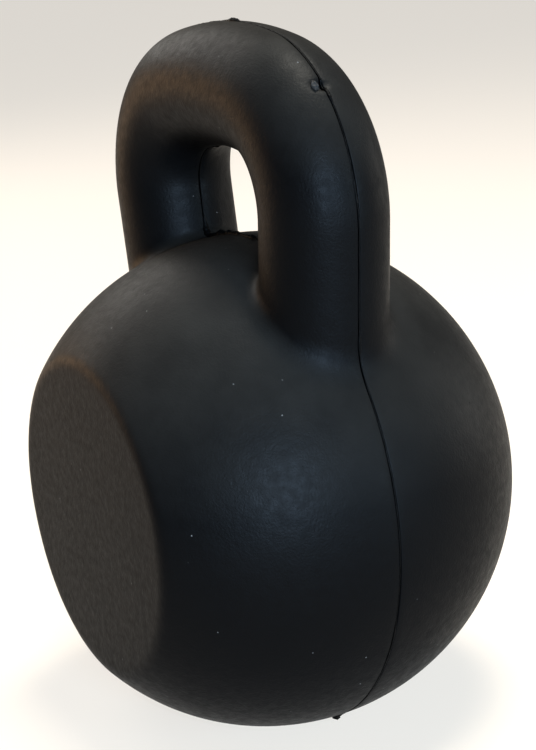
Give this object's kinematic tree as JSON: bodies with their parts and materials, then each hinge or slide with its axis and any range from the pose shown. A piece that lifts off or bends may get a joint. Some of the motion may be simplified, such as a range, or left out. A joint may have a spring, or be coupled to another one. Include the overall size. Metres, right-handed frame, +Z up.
{
  "type": "kettlebell",
  "caption": "Soft-covered training kettlebell: an iron ball with a pinned steel handle bar inside a black moulded cover with a seam, a flat front and a flat foot.",
  "frame": {"origin": "on the floor, midway in depth between the front flat and the round back of the ball", "axes": "+Z up through the ball and the handle, +X along the handle's width, -Y out of the front flat"},
  "size_m": [0.1506, 0.1334, 0.2065],
  "materials": {
    "cover_skin": "matte, finely grained moulded skin",
    "seam_bead": "matte, uneven bond line",
    "core_iron": "as cast",
    "bar_steel": "drawn bar",
    "pin_steel": "ground",
    "spacer_plastic": "moulded",
    "ring_plastic": "moulded"
  },
  "bodies": {
    "root": {"cover_front": "cover_skin", "cover_rear": "cover_skin", "bead_outer": "seam_bead", "bead_window": "seam_bead", "core_casting": "core_iron", "handle_bar": "bar_steel", "leg_pin_left": "pin_steel", "leg_pin_right": "pin_steel", "spacer_front_top": "spacer_plastic", "spacer_front_left": "spacer_plastic", "spacer_front_right": "spacer_plastic", "spacer_rear_top": "spacer_plastic", "spacer_rear_left": "spacer_plastic", "spacer_rear_right": "spacer_plastic", "spacer_base_rear": "spacer_plastic", "spacer_base_left": "spacer_plastic", "spacer_base_right": "spacer_plastic", "spacer_side_left": "spacer_plastic", "spacer_side_right": "spacer_plastic", "ring_leg_left": "ring_plastic", "ring_corner_left": "ring_plastic", "ring_crown": "ring_plastic", "ring_corner_right": "ring_plastic", "ring_leg_right": "ring_plastic"}
  },
  "joints": []
}
